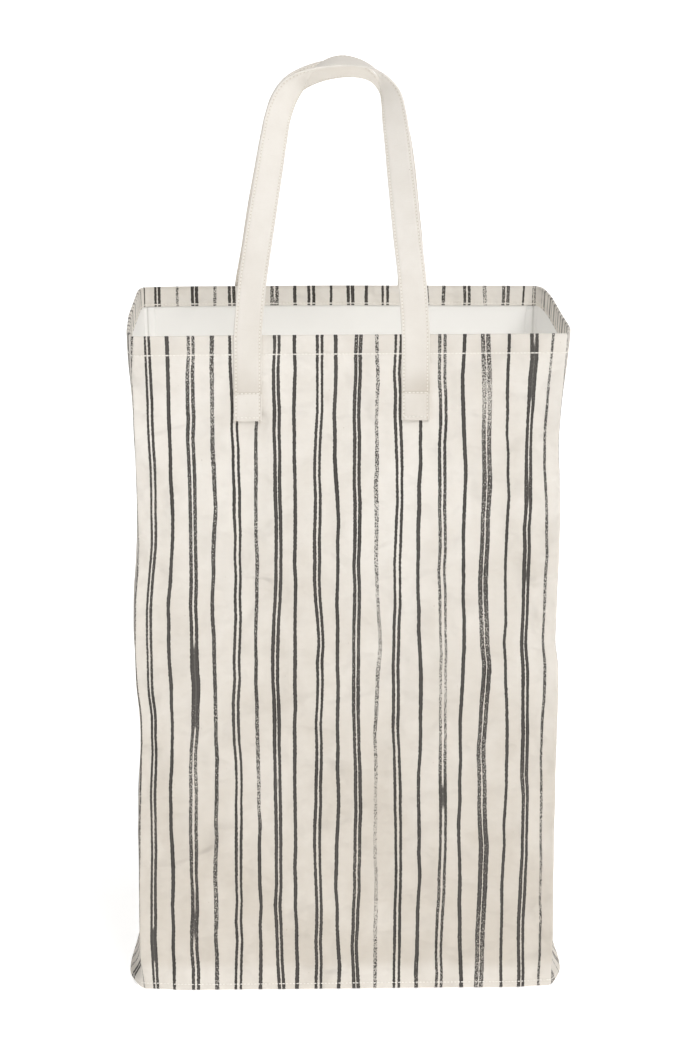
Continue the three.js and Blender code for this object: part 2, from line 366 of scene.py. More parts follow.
class Graph:
    """A small writer for one material's nodes. Inputs are terms, sockets, numbers or tuples."""

    def __init__(self, name):
        self.material = bpy.data.materials.new(name)
        self.material.use_nodes = True
        self.tree = self.material.node_tree
        self.shader = self.tree.nodes["Principled BSDF"]

    def node(self, kind, inputs=(), **settings):
        made = self.tree.nodes.new(kind)
        for key, value in settings.items():
            setattr(made, key, value)
        for key, value in dict(inputs).items():
            self.feed(made.inputs[key], value)
        return made

    def feed(self, target, value):
        if isinstance(value, Term):
            value = value.socket
        if isinstance(value, bpy.types.NodeSocket):
            self.tree.links.new(value, target)
        else:
            target.default_value = value

    def math(self, operation, *values, clamp=False):
        made = self.node("ShaderNodeMath", operation=operation, use_clamp=clamp)
        for target, value in zip(made.inputs, values):
            self.feed(target, value)
        return Term(self, made.outputs[0])

    def ramp(self, value, low, high, to_low=0.0, to_high=1.0):
        """A smooth step of value from low to high."""
        made = self.node("ShaderNodeMapRange", {"Value": value, "From Min": low, "From Max": high,
                                                "To Min": to_low, "To Max": to_high},
                         interpolation_type="SMOOTHSTEP", clamp=True)
        return Term(self, made.outputs["Result"])

    def vector(self, x, y=0.0, z=0.0):
        return self.node("ShaderNodeCombineXYZ", {"X": x, "Y": y, "Z": z}).outputs[0]

    def noise(self, vector, scale=1.0, detail=2.0, roughness=0.5):
        made = self.node("ShaderNodeTexNoise", {"Vector": vector, "Scale": scale, "Detail": detail,
                                                "Roughness": roughness}, noise_dimensions="3D")
        return Term(self, made.outputs[0])

    def cloth_noise(self, u, v, detail, layer=0.0):
        """Noise over two cloth distances, scaled already. Each layer has its own pattern."""
        return self.noise(self.vector(u, v, layer), 1.0, detail)

    def mix(self, share, a, b):
        return self.node("ShaderNodeMix", {"Factor": share, 6: a, 7: b}, data_type="RGBA").outputs[2]

    def parts(self, vector):
        made = self.node("ShaderNodeSeparateXYZ", {"Vector": vector})
        return [Term(self, socket) for socket in made.outputs]

    def uv(self, name="cloth"):
        return self.parts(self.node("ShaderNodeUVMap", uv_map=name).outputs[0])[:2]

    def place(self):
        return self.node("ShaderNodeTexCoord").outputs["Object"]

    def height(self):
        return self.parts(self.place())[2]

    def bump(self, height, strength, distance, normal=None):
        inputs = {"Height": height, "Strength": strength, "Distance": distance}
        if normal is not None:
            inputs["Normal"] = normal
        return self.node("ShaderNodeBump", inputs).outputs[0]

    def finish(self, colour, roughness, normal=None, sheen=0.0, specular=0.3):
        for key, value in (("Base Color", colour), ("Roughness", roughness), ("Sheen Weight", sheen),
                           ("Specular IOR Level", specular)):
            self.feed(self.shader.inputs[key], value)
        if normal is not None:
            self.feed(self.shader.inputs["Normal"], normal)
        return self.material


CANVAS_LIGHT = (0.80, 0.765, 0.715, 1)
# Darker, warmer end of the canvas's random tone, also used as painted shade towards the foot of the wall.
CANVAS_DARK_TONE_AND_SHADE = (0.60, 0.55, 0.485, 1)
CANVAS_STREAK = (0.66, 0.60, 0.52, 1)
# Painted shade in the gaps between the woven threads.
CANVAS_GAP_SHADE = (0.62, 0.56, 0.48, 1)
CANVAS_SPECK = (0.30, 0.24, 0.18, 1)
STITCHED_HEM = (0.80, 0.76, 0.70, 1)
NEEDLE_SHADOW = (0.42, 0.33, 0.22, 1)
GROOVE_SHADOW = (0.50, 0.42, 0.32, 1)
INK_DARK = (0.020, 0.018, 0.017, 1)
INK_GREY = (0.085, 0.078, 0.072, 1)


def weave(g, u, v, pitch):
    """Height of a plain weave with uneven threads, from about 0 to 1."""
    drift = g.cloth_noise(u * 90.0, v * 90.0, 1.0)
    turns = 2 * math.pi / pitch
    warp = g.math("SINE", u * turns + drift * 2.5)
    weft = g.math("SINE", v * turns + drift * -2.5)
    slub = g.cloth_noise(u * 1400.0, v * 160.0, 2.0)
    slub_across = g.cloth_noise(u * 160.0, v * 1400.0, 2.0)
    return warp * weft * 0.3 + (slub + slub_across) * 0.5


def crumple(g, u, v):
    """Shallow waves and short sharp folds of handled cloth, as a normal."""
    broad = g.cloth_noise(u * 13.0, v * 17.0, 2.0, 3.0)
    small = g.cloth_noise(u * 42.0, v * 55.0, 2.0, 8.0)
    folds = g.cloth_noise(u * 9.0, v * 21.0, 1.0, 5.0)
    patch = g.cloth_noise(u * 14.0, v * 9.0, 2.0, 1.0)
    ridge = g.ramp(abs(folds - 0.5), 0.06, 0.0)
    waves = g.bump(broad + small * 0.25, 1.0, 18 * MM)
    return g.bump(ridge * g.ramp(patch, 0.47, 0.62), 1.0, 0.9 * MM, waves)


def canvas_colour(g, u, v, cloth, tone_and_painted_shade):
    """Natural cotton: broad clouds, faint woven streaks, painted shade in the gaps between threads and a few dark
    specks. The last argument is the share of the darker, warmer colour before the clouds: a fixed tone, and on
    the printed wall also painted shade and painted light by height."""
    clouds = g.cloth_noise(u * 11.0, v * 8.0, 3.0)
    small = g.cloth_noise(u * 45.0, v * 38.0, 3.0)
    share = (clouds - 0.5) * 1.1 + tone_and_painted_shade + (small - 0.5) * 0.6
    # The darker end is the cloth's random tone and, on the printed wall, painted shade and painted light by height.
    colour = g.mix(share, CANVAS_LIGHT, CANVAS_DARK_TONE_AND_SHADE)
    streaks = g.cloth_noise(u * 60.0, v * 900.0, 2.0)
    colour = g.mix(g.ramp(streaks, 0.55, 0.85, 0.0, 0.18), colour, CANVAS_STREAK)
    # Painted shade where the weave is low, in the gaps between threads.
    colour = g.mix(g.ramp(cloth, 0.75, 0.2, 0.0, 0.16), colour, CANVAS_GAP_SHADE)
    specks = g.cloth_noise(u * 420.0, v * 420.0, 1.0)
    return g.mix(g.ramp(specks, 0.79, 0.83, 0.0, 0.6), colour, CANVAS_SPECK)


def stripe_family(g, u, v, phase, seed, centres, half_width):
    """Ink cover and darkness of one family of hand-drawn stripes, one to each pitch. Lengths in mm."""
    turn = u / STRIPE_PITCH - phase
    index = (turn + 0.5).floor()
    local = (turn - index) * (STRIPE_PITCH / MM)
    own = index * 7.31 + seed

    def chance(offset, step=0.0):
        """A number from -0.5 to 0.5 that belongs to one stripe."""
        made = g.node("ShaderNodeTexWhiteNoise", {"Vector": g.vector(own + offset, step)},
                          noise_dimensions="2D")
        return Term(g, made.outputs["Value"]) - 0.5

    def along(frequency, detail, offset=0.0):
        """Smooth change along the stripe, from -0.5 to 0.5."""
        return g.noise(g.vector(own + offset, v * frequency, seed), 1.0, detail, 0.45) - 0.5

    def kinked(length, offset):
        """Straight runs between random points, as a hand-drawn line has, from -0.5 to 0.5."""
        place = v * (1 / length) + chance(offset + 3.0) * 4.0
        step = place.floor()
        straight = place - step
        part = g.ramp(straight, 0.0, 1.0) * 0.2 + straight * 0.8
        before, after = chance(offset, step), chance(offset, step + 1.0)
        return before + (after - before) * part

    wander = kinked(0.083, 11.0) * 4.4 + kinked(0.019, 23.0) * 1.3 + along(3.0, 1.0) * 2.4
    centre = local - wander
    edge = g.cloth_noise(u * 900.0, v * 500.0, 2.0, seed)
    weight = chance(71.0) * 0.55 + half_width + along(16.0, 2.0, 55.0) * 1.1
    if centres:
        spread = (along(12.0, 1.0, 13.0) * 0.9 + centres).most(weight + 0.35)
        distance = abs(abs(centre) - spread)
    else:
        distance = abs(centre)
    depth = weight - distance + (edge - 0.5) * 1.15
    cover = g.ramp(depth, -0.10, 0.14)
    darkness = g.ramp(depth, 0.35, 0.95, 1.0, 0.12)
    if centres:
        between = g.ramp(abs(centre), centres + 0.4, centres - 0.5)
        run = g.ramp(along(11.0, 2.0, 91.0) + chance(37.0) * 0.22, 0.15, 0.19, 0.0, 0.93)
        filled = between * run
        cover = cover.most(filled)
        darkness = darkness * (1.0 - filled * 0.75)
    grain = g.cloth_noise(u * 1500.0, v * 900.0, 2.0, seed)
    dryness = along(8.0, 2.0, 17.0) * 0.9 + chance(23.0) * 0.75
    dry = g.ramp(grain - 0.5 + (dryness * 0.6 - 0.13), 0.02, 0.10)
    cover = cover * (1.0 - dry * 0.88)
    darkness = g.math("ADD", darkness, along(9.0, 1.0, 44.0) * 0.9, clamp=True)
    return cover, darkness, grain


def stripe_print(g, u, v, colour):
    """Double and single charcoal stripes in turn, printed over the cloth's colour."""
    double, double_dark, grain = stripe_family(g, u, v, 0.0, 4.2, 2.2, 1.5)
    single, single_dark, _ = stripe_family(g, u, v, 0.5, 9.7, 0, 1.52)
    cover = double.most(single)
    darkness = (double * double_dark).most(single * single_dark) * g.ramp(grain, 0.35, 0.65, 0.8, 1.0)
    ink = g.mix(darkness, INK_GREY, INK_DARK)
    return g.mix(cover, colour, ink), cover


def printed_canvas():
    g = Graph("printed_canvas")
    u, v = g.uv()
    height = g.height()
    cloth = weave(g, u, v, 0.9 * MM)
    # Painted shade and light by height: darker and warmer towards the foot, where less light falls, painted
    # shade in the hem band where the cloth lies double and lets less light through, and painted light inside
    # the hem and on the foot below its pressed hollow.
    tone_and_painted_shade = g.ramp(height, -0.10, RIM + 0.12, 1.03, 0.10)
    # Painted shade in the hem band, where the doubled cloth lets less light through.
    tone_and_painted_shade = tone_and_painted_shade + g.ramp(height, HEM_STITCH_Z - 1 * MM, HEM_STITCH_Z, 0.0, 0.22)
    # Painted light on the inner face of the hem.
    tone_and_painted_shade = tone_and_painted_shade + g.ramp(v, RIM + 9 * MM, RIM + 13 * MM, 0.0, -0.5)
    # Painted light on the foot band below the pressed hollow.
    tone_and_painted_shade = tone_and_painted_shade + g.ramp(height, 30 * MM, 16 * MM) * -0.45
    colour, cover = stripe_print(g, u, v, canvas_colour(g, u, v, cloth, tone_and_painted_shade))
    by_stitch = g.ramp(abs(height - HEM_STITCH_Z), 0.9 * MM, 0.4 * MM, 0.0, 0.55)
    colour = g.mix(by_stitch, colour, STITCHED_HEM)
    rough = g.ramp(cover, 0.0, 1.0, 0.92, 0.82)
    normal = g.bump(cloth, 0.35, 0.25 * MM, crumple(g, u, v))
    return g.finish(colour, rough, normal, sheen=0.1, specular=0.15)


def strap_tone_and_painted_shade(g, loose_warmth):
    """Painted shade on a strap: darker where it is sewn down to the wall, most of all in the recess just above the
    level line of stitches, with a painted shadow along that line.
    """
    height = g.height()
    level = RIM - STRAP_SEWN + STRAP_END_LENGTH
    # Painted shade, darker down the sewn part and fading to the strap's own tone up the loop.
    tone_and_painted_shade = g.ramp(height, level, RIM + 60 * MM, 0.42, loose_warmth)
    # Painted shade in the recess just above the level line of stitches.
    recess_shade = g.ramp(height, level - 0.3 * MM, level + 0.3 * MM) * g.ramp(height, level + 26 * MM, level)
    # Painted shadow along the level line of stitches.
    line = g.ramp(abs(height - level), 1.1 * MM, 0.3 * MM)
    return tone_and_painted_shade + recess_shade * 0.42 + line * 0.5


def needle_shadows(g, colour):
    """Tan shadows where the needle went in, and a paler one along the groove of each edge."""
    across, along = g.uv("seam")
    off_line = abs(abs(across) - (STRAP_WIDTH / 2 - STRAP_EDGE_STITCH))
    part = g.math("FRACT", along / STITCH_PITCH)
    hole = g.ramp(off_line, 0.75 * MM, 0.35 * MM) * g.ramp(abs(part - 0.5), 0.34, 0.42)
    colour = g.mix(hole * 0.34, colour, NEEDLE_SHADOW)
    return g.mix(g.ramp(off_line, 1.4 * MM, 0.3 * MM) * 0.16, colour, GROOVE_SHADOW)


def plain_canvas(name, pitch, tone_and_painted_shade, strap=False):
    g = Graph(name)
    u, v = g.uv()
    cloth = weave(g, u, v, pitch)
    colour = canvas_colour(g, u, v, cloth, strap_tone_and_painted_shade(g, tone_and_painted_shade) if strap else tone_and_painted_shade)
    if strap:
        colour = needle_shadows(g, colour)
    return g.finish(colour, 0.92, g.bump(cloth, 0.4, 0.25 * MM), sheen=0.1, specular=0.15)


def white_coating():
    g = Graph("white_coating")
    place = g.place()
    clouds = g.noise(place, 9.0, 3.0)
    colour = g.mix(g.ramp(clouds, 0.3, 0.75), (0.905, 0.90, 0.885, 1), (0.87, 0.865, 0.845, 1))
    fine = g.noise(place, 900.0, 2.0)
    wrinkle = g.noise(place, 45.0, 3.0)
    normal = g.bump(fine, 0.12, 0.1 * MM, g.bump(wrinkle, 0.25, 0.6 * MM))
    return g.finish(colour, g.ramp(fine, 0.2, 0.8, 0.42, 0.6), normal, specular=0.35)


def sewing_thread():
    g = Graph("sewing_thread")
    shade = g.noise(g.place(), 1500.0, 1.0)
    colour = g.mix(g.ramp(shade, 0.3, 0.7), (0.88, 0.855, 0.80, 1), (0.78, 0.74, 0.68, 1))
    return g.finish(colour, 0.75, g.bump(shade, 0.3, 0.1 * MM), sheen=0.2, specular=0.3)


PRINTED = printed_canvas()
STRAP_CLOTH = plain_canvas("strap_canvas", 0.8 * MM, 0.12, strap=True)
SEAM_CLOTH = plain_canvas("seam_canvas", 0.9 * MM, 0.4)
COATED = white_coating()
THREAD = sewing_thread()


# ---- print position of the stripes
# Distances from the panel's middle, in mm, of the stripes on the front and back panels: single and
# double in turn. The front's start at its left edge with a single, the back's at the right with a double.
FRONT_STRIPES = (-190, -176.5, -159.5, -139.5, -120, -100, -82.5, -64, -47.5, -28, -10.5, 6.5, 24.5, 43.5, 62.5,
                 82.5, 101, 120, 141, 161, 177, 194)
BACK_STRIPES = (187.5, 174, 155, 136.5, 118, 99, 81, 63, 42, 25.5, 7, -9.5, -28, -45.5, -64.5, -84, -103, -120.5,
                -139, -157.5, -175, -189.5)
SIDE_HALF_TURNS = 14         # half pitches from the last stripe of one panel to the first of the next
FIRST_TURN = -0.5            # doubles are at whole turns of the print, singles half a turn between


def stripe_places():
    """Distances round the bag of all stripes, from the first on the front to its repeat at the end."""
    front = [HALF_WIDTH + s * MM for s in FRONT_STRIPES]
    back = [RIGHT_END + HALF_WIDTH - s * MM for s in BACK_STRIPES]

    def side(first, last, seed):
        between = np.linspace(first, last, SIDE_HALF_TURNS + 1)[1:-1]
        return [p + 1.4 * MM * math.sin(seed + 2.4 * k) for k, p in enumerate(between)]

    return front + side(front[-1], back[0], 1.0) + back + side(back[-1], ROUND, 4.0) + [ROUND]


PLACES = stripe_places()
PRINT_ROUND = (len(PLACES) - 1) * 0.5 * STRIPE_PITCH


def print_distance(u):
    """Cloth distance round the bag as the print's own distance, in which stripes are even."""
    turns = FIRST_TURN + 0.5 * np.arange(len(PLACES))
    return np.interp(u, PLACES, turns) * STRIPE_PITCH


def set_uv(piece, u_of_vertex, v_of_vertex, wrap=None, name="cloth"):
    """Stores cloth distances as a UV map. wrap is the whole length round, for a mesh of four-sided faces
    that joins its last column to its first."""
    layer = piece.data.uv_layers.new(name=name)
    loops = np.zeros(len(piece.data.loops), int)
    piece.data.loops.foreach_get("vertex_index", loops)
    u = np.asarray(u_of_vertex, float)[loops]
    v = np.asarray(v_of_vertex, float)[loops]
    if wrap:
        corners = u.reshape(-1, 4)
        joins = (corners.max(axis=1) - corners.min(axis=1)) > wrap / 2
        u = np.where(joins[:, None] & (corners < wrap / 2), corners + wrap, corners).ravel()
    layer.data.foreach_set("uv", np.stack([u, v], axis=-1).ravel())


# ---- canvas wall with rim and hem
def arc(centre, radius, start, end, count):
    """Points (inset, height) on an arc, without its first point. Angles in degrees."""
    angles = np.radians(np.linspace(start, end, count + 1)[1:])
    return [(centre[0] + radius * math.cos(a), centre[1] + radius * math.sin(a)) for a in angles]


def line(start, end, step):
    count = max(1, round(math.dist(start, end) / step))
    return [(start[0] + (end[0] - start[0]) * k / count, start[1] + (end[1] - start[1]) * k / count)
            for k in range(1, count + 1)]


def wall_profile():
    """Closed outline (inset, height) of the wall's cloth: under the foot, up the outside, over the rim,
    down the hem, and back hidden."""
    foot_in, foot = FOOT_FLANGE, FOOT_RADIUS
    hem_in = 2 * RIM_RADIUS
    hem_low = RIM - HEM_DEPTH
    small = CANVAS / 2
    rim_centre = (RIM_RADIUS, RIM - RIM_RADIUS)
    beside, fine = 3 * MM, 0.75 * MM       # close rows on each side of a line of stitches
    points = [(foot_in, 0.0)]

    def go(inset, height, step):
        points.extend(line(points[-1], (inset, height), step))

    go(foot, 0.0, 2.5 * MM)
    points += arc((foot, foot), foot, 270, 180, 5)
    go(0.0, FOOT_STITCH_Z + beside, fine)
    go(0.0, HEM_STITCH_Z - beside, 4.2 * MM)
    go(0.0, HEM_STITCH_Z + beside, fine)
    go(0.0, rim_centre[1], 3 * MM)
    points += arc(rim_centre, RIM_RADIUS, 180, 0, 9)
    go(hem_in, HEM_STITCH_Z + beside, 3 * MM)
    go(hem_in, hem_low + small, fine)
    points += arc((hem_in - small, hem_low + small), small, 0, -180, 5)
    go(hem_in - CANVAS, rim_centre[1], 4.5 * MM)
    points += arc(rim_centre, RIM_RADIUS - CANVAS, 0, 180, 5)
    go(CANVAS, foot, 6 * MM)
    points += arc((foot, foot), foot - CANVAS, 180, 270, 3)
    go(foot_in, CANVAS, 2.5 * MM)
    return np.array(points)


def loft_round(name, profile, material):
    """A closed shell: the closed profile of (inset, height) points carried round the bag."""
    u = np.broadcast_to(U_SAMPLES, (len(profile), len(U_SAMPLES)))
    z = np.broadcast_to(profile[:, 1:], u.shape)
    inset = np.broadcast_to(profile[:, :1], u.shape)
    points = wall_point(u, z, inset)
    faces = ring_faces(len(profile), len(U_SAMPLES), close_rows=True)
    piece = new_object(name, points, facing_out(points, faces), material)
    steps = np.linalg.norm(np.diff(profile, axis=0), axis=1)
    length = np.concatenate([[0], np.cumsum(steps)])
    cloth_u = print_distance(u).ravel()
    cloth_v = np.broadcast_to(length[:, None], u.shape).ravel()
    set_uv(piece, cloth_u, cloth_v, wrap=PRINT_ROUND)
    return piece


def on_bag(piece, slot, *nodes):
    """Hangs a piece on the bag's body and hides the CAD nodes that it stands for. The slot is not used."""
    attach(piece, "bag")
    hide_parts(*nodes)
    return piece


def walls(kind):
    return [f"{side}_{kind}" for side in ("front", "back", "left_side", "right_side")]


canvas_wall = on_bag(loft_round("canvas_wall", wall_profile(), PRINTED), "canvas", *walls("panel"), *walls("hem"))


def coating_profile():
    outer, inner = COATING_IN, COATING_IN + COATING
    top = RIM - 2 * RIM_RADIUS
    bottom = FOOT_RADIUS - 0.3 * MM
    points = [(outer, bottom)]
    points += line(points[-1], (outer, top), 9 * MM)
    points += line(points[-1], (inner, top), 1 * MM)
    points += line(points[-1], (inner, bottom), 6 * MM)
    return np.array(points)


coating_wall = on_bag(loft_round("coating_wall", coating_profile(), COATED), "coating", *walls("coating"))


# ---- base
def base_sheet(name, inset, low, high, material):
    """A flat sheet inside the foot of the walls, with the walls' own plan."""
    rim = wall_point(U_SAMPLES, np.full(len(U_SAMPLES), FOOT_RADIUS), inset)[:, :2]
    rings = 14
    points = []
    for height in (low, high):
        for ring in range(rings):
            flat = rim * (1 - ring / rings)
            points.append(np.column_stack([flat, np.full(len(flat), height)]))
    columns = len(U_SAMPLES)
    faces = ring_faces(rings, columns)
    top = [tuple(reversed([i + rings * columns for i in f])) for f in faces]
    last = (rings - 1) * columns
    faces.append(tuple(reversed(range(last, last + columns))))
    top.append(tuple(range(rings * columns + last, rings * columns + last + columns)))
    side = [(c, c + rings * columns, (c + 1) % columns + rings * columns, (c + 1) % columns)
            for c in range(columns)]
    points = np.concatenate(points)
    faces = facing_out(points, faces + top + side)
    piece = new_object(name, points, faces, material, smooth=False)
    set_uv(piece, points[:, 0] + HALF_WIDTH, points[:, 1] + HALF_DEPTH)
    return piece


base_canvas = on_bag(base_sheet("base_canvas", FOOT_FLANGE + 0.3 * MM, 0.0, CANVAS, PRINTED),
                     "canvas", "base_panel")
base_lining = on_bag(base_sheet("base_lining", COATING_IN + COATING + 1.2 * MM, 1.3 * MM, 1.7 * MM, COATED),
                     "coating", "base_coating")


# ---- seam edges inside
def base_seam():
    inner, outer = COATING_IN + COATING + 9.5 * MM, COATING_IN + COATING + 1.3 * MM
    low, high = 1.9 * MM, 2.9 * MM
    round_off, chamfer = 0.4 * MM, 0.5 * MM
    profile = [(outer, low + round_off)]
    for corner, step in (((outer, high - round_off), 1 * MM), ((outer + chamfer, high), 1 * MM),
                         ((inner - chamfer, high), 3 * MM), ((inner, high - round_off), 1 * MM),
                         ((inner, low), 1 * MM), ((outer + chamfer, low), 3 * MM)):
        profile += line(profile[-1], corner, step)
    on_bag(loft_round("base_seam_edge", np.array(profile), SEAM_CLOTH), "seam_edge", "base_seam_allowance")


base_seam()


def corner_seam(name, corner, direction):
    """One folded seam edge beside an upright corner, lying on the coating of the front or back wall."""
    near, far = 4.5 * MM, 12.5 * MM
    inner = COATING_IN + COATING + 0.15 * MM
    low, high = 4 * MM, RIM - HEM_DEPTH - 0.6 * MM
    section = [(near, 0.0), (far - 0.4 * MM, 0.0), (far, 0.4 * MM), (far - 0.4 * MM, 0.9 * MM),
               (near + 2 * MM, 1.0 * MM), (near, 0.6 * MM)]
    heights = np.linspace(low, high, 140)[:, None]
    along, rise = np.array(section).T
    wave = 0.5 * MM * np.sin(heights * 90 + corner * 40) + 0.3 * MM * np.sin(heights * 233)
    reach = along + wave * (along > 6 * MM)
    points = wall_point(corner + direction * reach, heights, inner + rise).reshape(-1, 3)
    faces = facing_out(points, tube_faces(len(heights), len(section)))
    on_bag(new_object(f"{name}_seam_edge", points, faces, COATED), "coating", f"{name}_seam_allowance")


for name, corner, direction in (("front_left", 0.0, 1), ("front_right", FRONT_END, -1),
                                ("back_right", RIGHT_END, 1), ("back_left", BACK_END, -1)):
    corner_seam(name, corner, direction)


# ---- stitches
def stitch_shape():
    """One stitch along +Y, flattened, as rings of points round its length."""
    rings = [(-0.5, 0.0), (-0.42, 0.62), (-0.2, 1.0), (0.2, 1.0), (0.42, 0.62), (0.5, 0.0)]
    around = 6
    points, faces = [], []
    for along, radius in rings[1:-1]:
        for k in range(around):
            a = 2 * math.pi * k / around
            points.append((radius * math.cos(a), along, radius * math.sin(a)))
    faces += ring_faces(len(rings) - 2, around)
    first, last = len(points), len(points) + 1
    points += [(0, -0.5, 0), (0, 0.5, 0)]
    start = (len(rings) - 3) * around
    for k in range(around):
        faces.append((first, (k + 1) % around, k))
        faces.append((last, start + k, start + (k + 1) % around))
    return np.array(points), facing_out(np.array(points), faces)


STITCH_POINTS, STITCH_FACES = stitch_shape()


def stitches(name, seats):
    """One mesh of separate stitches. Each seat is (place, direction, outward normal)."""
    points, faces = [], []
    for place, along, out in seats:
        along = along / np.linalg.norm(along)
        out = out - along * (out @ along)
        out = out / np.linalg.norm(out)
        across = np.cross(along, out)
        start = sum(len(p) for p in points)
        local = STITCH_POINTS * (THREAD_RADIUS * 1.25, STITCH_LENGTH, THREAD_RADIUS)
        points.append(place + local[:, :1] * across + local[:, 1:2] * along + local[:, 2:] * out)
        faces += [tuple(start + i for i in f) for f in STITCH_FACES]
    return new_object(name, np.concatenate(points), faces, THREAD)


def round_line(height, inset, facing, leave_out=()):
    """Stitch seats in a level line round the bag. facing is 1 for outside and -1 for inside."""
    count = int(ROUND / STITCH_PITCH)
    u = (np.arange(count) + 0.5) * ROUND / count
    for low, high in leave_out:
        u = u[(u < low) | (u > high)]
    places, along, out = wall_frame(u, height, inset)
    return list(zip(places + facing * THREAD_SIT * out, along, facing * out))


def strap_columns():
    """Stretches of the way round that the sewn straps cover."""
    columns = []
    for end in ("left", "right"):
        low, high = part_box(f"front_handle_{end}_end")
        columns.append((low[0] + HALF_WIDTH, high[0] + HALF_WIDTH))
        low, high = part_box(f"rear_handle_{end}_end")
        columns.append((RIGHT_END + HALF_WIDTH - high[0], RIGHT_END + HALF_WIDTH - low[0]))
    return columns


hem_seats = round_line(HEM_STITCH_Z, 0.0, 1, strap_columns()) + round_line(HEM_STITCH_Z, 2 * RIM_RADIUS, -1)
on_bag(stitches("hem_stitches", hem_seats), "thread", *walls("hem_stitch"))
on_bag(stitches("foot_stitches", round_line(FOOT_STITCH_Z, 0.0, 1)), "thread", *walls("base_stitch"))


# ---- strap handles
# The loops above the rim, from the left leg over the top to the right leg, in the plane that the
# handle leans in: (sideways from the bag's middle, up the plane from the rim, turn of the strap's
# outer face from that plane towards the outside of the loop). Millimetres and degrees. The front
# strap twists the other way at its shoulders, so that its outer face looks down at the top.
FRONT_LOOP = ((-84.6, 48, 0), (-78.4, 95, -9), (-70.9, 147, -19), (-65, 187, -25), (-62, 205, -29), (-58, 218, -35),
              (-53.6, 227.8, -42), (-48.7, 234.5, -52), (-43.2, 240, -68), (-36, 246.8, -93), (-28, 253.2, -116),
              (-17.5, 258.1, -129), (-6, 260.8, -138), (8, 259.5, -132), (16.5, 256.8, -122), (25, 252.2, -114),
              (31.6, 243.2, -90), (36.3, 232.8, -61), (40, 222, -43), (42.2, 208.7, -34), (44, 191, -27),
              (47.4, 147, -17), (51.5, 94, -7), (55.6, 48, 0))
REAR_LOOP = ((-84.6, 48, 0), (-78.6, 95, 8), (-71, 147, 18), (-65, 187, 22), (-61, 206, 20), (-55.5, 223, 14),
             (-45.5, 238, 10), (-27, 249, 10), (-3, 254.3, 12), (8, 252.5, 17), (17, 247, 32), (24.5, 239.5, 52),
             (30.5, 231, 68), (36.5, 220, 66), (42.5, 208, 56), (48.5, 187, 40), (53, 147, 20), (58, 95, 5),
             (62.8, 48, 0))
LOOP_MIDDLE = np.array([-3 * MM, 0, RIM + 0.12])
DENSE = 24                   # points on the smooth line between two of its own


def smooth_path(points):
    """A smooth centripetal Catmull-Rom line through the points, and the distance along it of each."""
    p = np.array(points, float)
    p = np.vstack([2 * p[0] - p[1], p, 2 * p[-1] - p[-2]])
    pieces = []
    for i in range(1, len(p) - 2):
        knots = [0.0]
        for j in range(3):
            knots.append(knots[-1] + max(1e-6, math.dist(p[i - 1 + j], p[i + j])) ** 0.5)
        t0, t1, t2, t3 = knots
        t = np.linspace(t1, t2, DENSE, endpoint=False)[:, None]
        a1 = (t1 - t) / (t1 - t0) * p[i - 1] + (t - t0) / (t1 - t0) * p[i]
        a2 = (t2 - t) / (t2 - t1) * p[i] + (t - t1) / (t2 - t1) * p[i + 1]
        a3 = (t3 - t) / (t3 - t2) * p[i + 1] + (t - t2) / (t3 - t2) * p[i + 2]
        b1 = (t2 - t) / (t2 - t0) * a1 + (t - t0) / (t2 - t0) * a2
        b2 = (t3 - t) / (t3 - t1) * a2 + (t - t1) / (t3 - t1) * a3
        pieces.append((t2 - t) / (t2 - t1) * b1 + (t - t1) / (t2 - t1) * b2)
    dense = np.vstack(pieces + [p[-2:-1]])
    length = np.concatenate([[0], np.cumsum(np.linalg.norm(np.diff(dense, axis=0), axis=1))])
    return dense, length


def rows_at(distances, length, values):
    return np.column_stack([np.interp(distances, length, values[:, k]) for k in range(values.shape[1])])


def unit(vectors):
    return vectors / np.linalg.norm(vectors, axis=-1, keepdims=True)


def strap_section(thick):
    """Cross-section (across, out) of a folded strap lying on out = 0: round edges, a groove along
    each line of stitches, and an open fold in one edge."""
    half = STRAP_WIDTH / 2
    edge = thick / 2
    stitch = half - STRAP_EDGE_STITCH
    face = [(-half + edge, 0), (-stitch - 0.7 * MM, 0.02 * MM), (-stitch, STRAP_GROOVE),
            (-stitch + 0.9 * MM, 0.04 * MM), (-stitch + 3 * MM, 0), (-half * 0.4, 0.03 * MM), (0, 0.05 * MM),
            (half * 0.4, 0.03 * MM), (stitch - 3 * MM, 0), (stitch - 0.9 * MM, 0.04 * MM), (stitch, STRAP_GROOVE),
            (stitch + 0.7 * MM, 0.02 * MM), (half - edge, 0)]
    right = [(half - edge + edge * math.cos(a), edge + edge * math.sin(a)) for a in np.radians((-60, -30))]
    right += [(half - 0.35 * MM, edge)]
    right += [(half - edge + edge * math.cos(a), edge + edge * math.sin(a)) for a in np.radians((30, 60))]
    over = [(x, thick - d) for x, d in reversed(face)]
    left = [(-half + edge - edge * math.cos(a), edge - edge * math.sin(a))
            for a in np.radians((-60, -30, 0, 30, 60))]
    return np.array(face + right + over + left)


